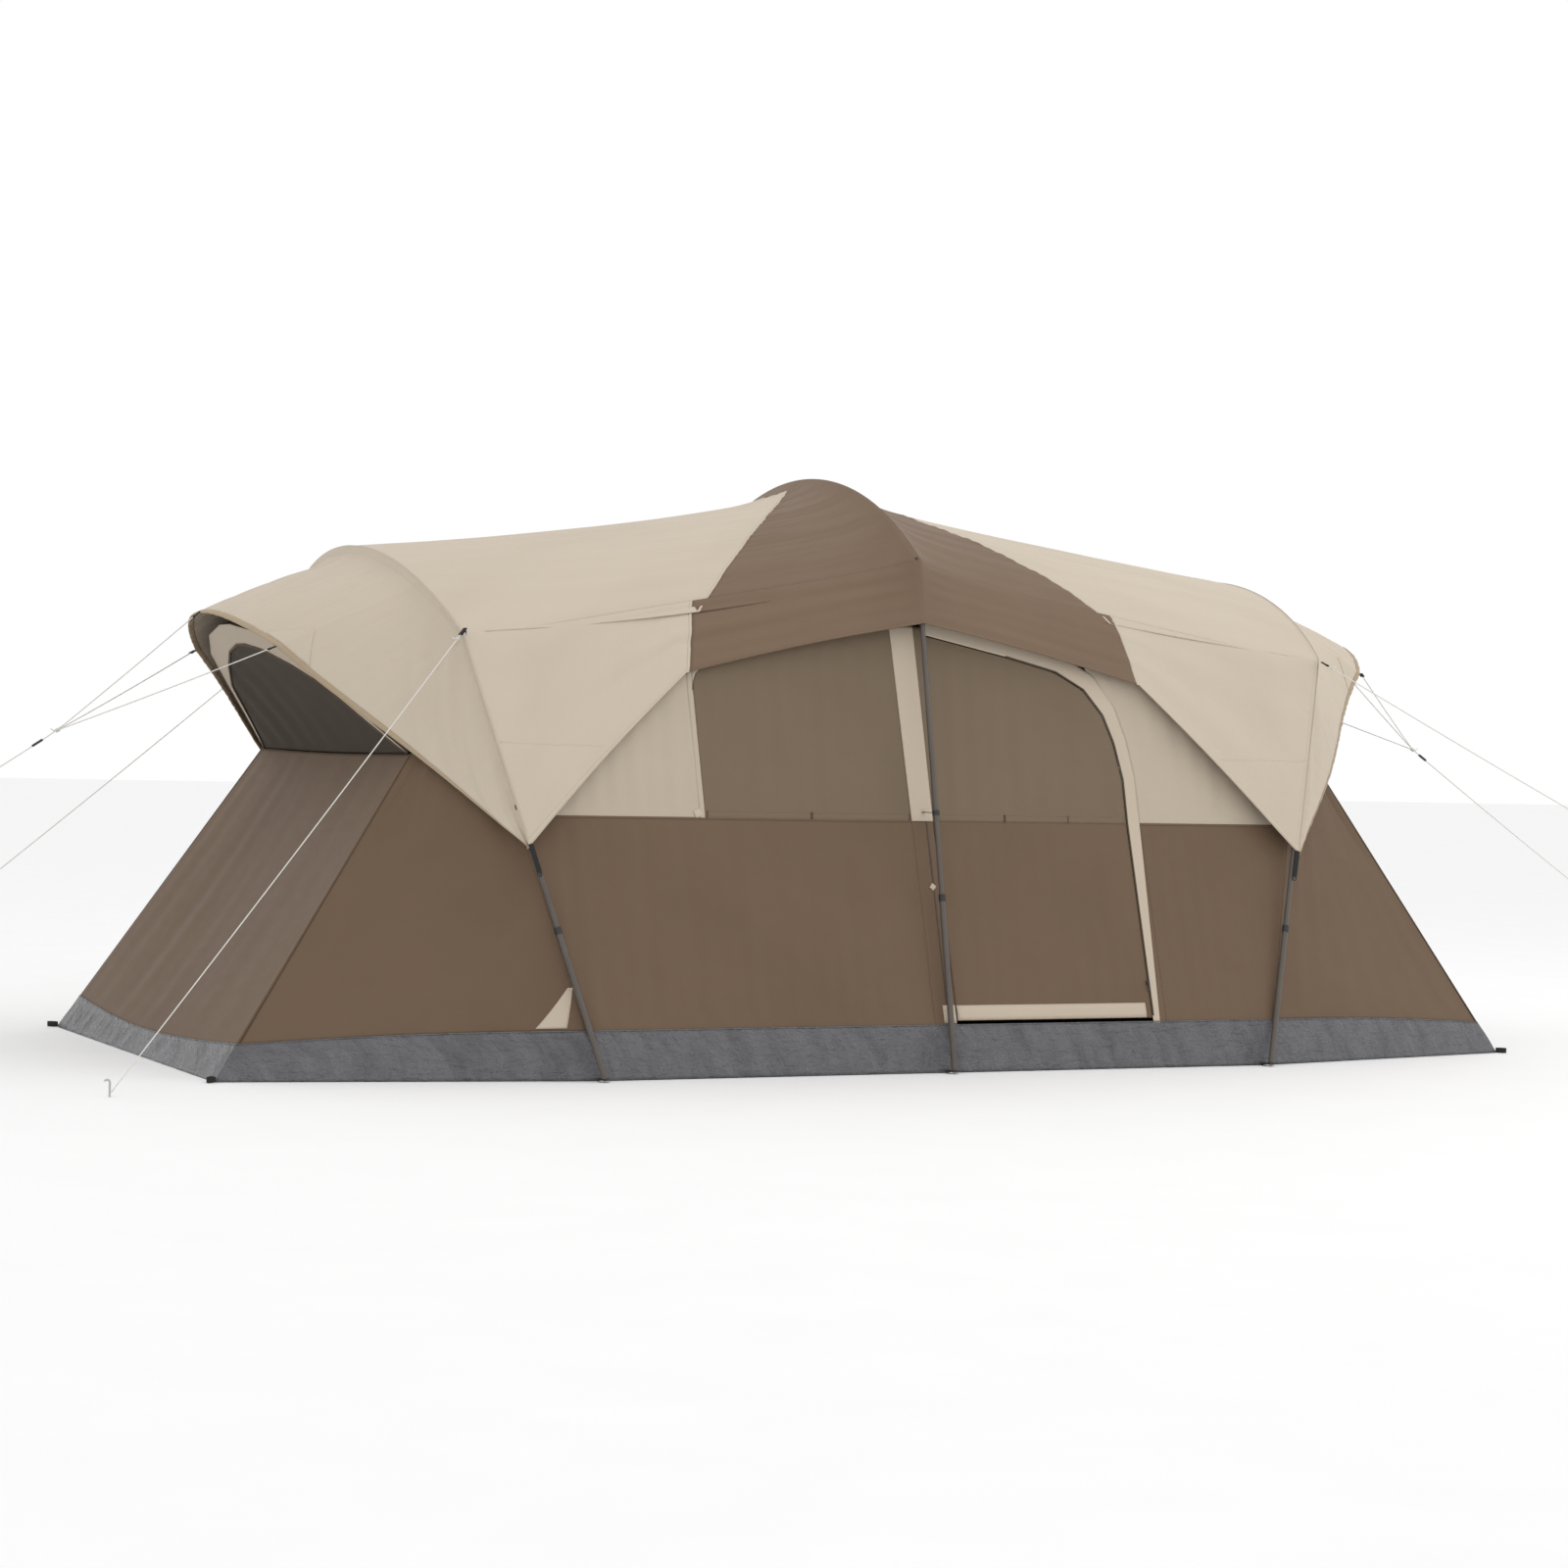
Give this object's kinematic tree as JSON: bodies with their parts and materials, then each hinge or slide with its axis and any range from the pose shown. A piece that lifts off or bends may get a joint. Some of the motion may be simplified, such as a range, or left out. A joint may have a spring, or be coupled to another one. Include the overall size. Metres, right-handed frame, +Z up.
{
  "type": "cabin tent",
  "caption": "Family cabin tent on three hoops of steel legs and bent roof poles, with a separate rain fly, end hoods, a zipped door, sewn-in tub floor and guy lines.",
  "frame": {"origin": "on the ground under the middle of the floor", "axes": "+X along the ridge towards the right end as seen from the door side, -Y towards the door side, +Z up"},
  "size_m": [7.0722, 2.8688, 2.1685],
  "materials": {
    "fly_cream": "light beige coated polyester, fine weave",
    "fly_brown": "brown polyester, fine weave",
    "window_cloth": "taupe window flap over mesh",
    "mesh": "dark no-see-um mesh",
    "tub": "grey coated polyethylene, shiny and crinkled",
    "steel_leg": "dark grey-brown powder coat",
    "fibreglass": "pultruded fibreglass",
    "bright_steel": "plated steel",
    "black_plastic": "moulded plastic",
    "webbing": "woven polypropylene webbing",
    "elastic_cord": "braided elastic cord",
    "guy_line": "braided line"
  },
  "bodies": {
    "root": {"back_wall_lower": "fly_brown", "back_wall_upper": "fly_cream", "back_windows": "window_cloth", "bridle_left_back": "guy_line", "bridle_left_front": "guy_line", "bridle_right_back": "guy_line", "bridle_right_front": "guy_line", "ceiling_net": "mesh", "corner_loops": "webbing", "corner_panels": "fly_brown", "door_flaps": "fly_cream", "elbow_connectors": "black_plastic", "end_wall_left": "fly_brown", "end_wall_right": "fly_brown", "end_window_left": "mesh", "end_window_right": "mesh", "floor_panel": "tub", "fly_centre_back": "fly_brown", "fly_centre_front": "fly_brown", "fly_corner_straps": "webbing", "fly_left": "fly_cream", "fly_right": "fly_cream", "foot_caps": "black_plastic", "foot_ring_pins": "bright_steel", "foot_webbing": "webbing", "front_wall_lower_left": "fly_brown", "front_wall_lower_right": "fly_brown", "front_wall_upper_left": "fly_cream", "front_wall_upper_right": "fly_cream", "front_window": "window_cloth", "guy_line_back_left": "guy_line", "guy_line_front_left": "guy_line", "guy_line_front_right": "guy_line", "guy_line_left": "guy_line", "guy_line_right": "guy_line", "guy_line_tabs": "webbing", "hood_left": "fly_cream", "hood_right": "fly_cream", "leg_back_centre": "steel_leg", "leg_back_left": "steel_leg", "leg_back_right": "steel_leg", "leg_front_centre": "steel_leg", "leg_front_left": "steel_leg", "leg_front_right": "steel_leg", "leg_joint_collars": "black_plastic", "leg_upper_tubes": "steel_leg", "roof_pole_centre": "fibreglass", "roof_pole_ferrules": "bright_steel", "roof_pole_left": "fibreglass", "roof_pole_right": "fibreglass", "shock_cords": "elastic_cord", "stake_front_left": "bright_steel", "tub_wall": "tub", "wall_clips": "black_plastic"},
    "door": {"door_panel": "fly_brown", "door_window": "window_cloth", "door_frame_rod": "bright_steel"},
    "zip_slider": {"door_zip_slider": "black_plastic"},
    "left_tensioner": {"tensioner_left": "black_plastic"},
    "right_tensioner": {"tensioner_right": "black_plastic"}
  },
  "joints": [
    {"name": "door_hinge", "type": "hinge", "parent": "root", "child": "door", "pos_m": [0.037, -1.28, 0.17], "axis": [0, -0.2322, -0.9727], "range_deg": [0, 100]},
    {"name": "door_zip_slide", "type": "slide", "parent": "door", "child": "zip_slider", "axis": [0, 0.2923, 0.9563], "range_m": [-0.08, 0.5]},
    {"name": "left_tensioner_slide", "type": "slide", "parent": "root", "child": "left_tensioner", "axis": [-0.8341, 0, -0.5517], "range_m": [-0.035, 0.22]},
    {"name": "right_tensioner_slide", "type": "slide", "parent": "root", "child": "right_tensioner", "axis": [0.8422, 0, -0.5391], "range_m": [-0.02, 0.95]}
  ]
}
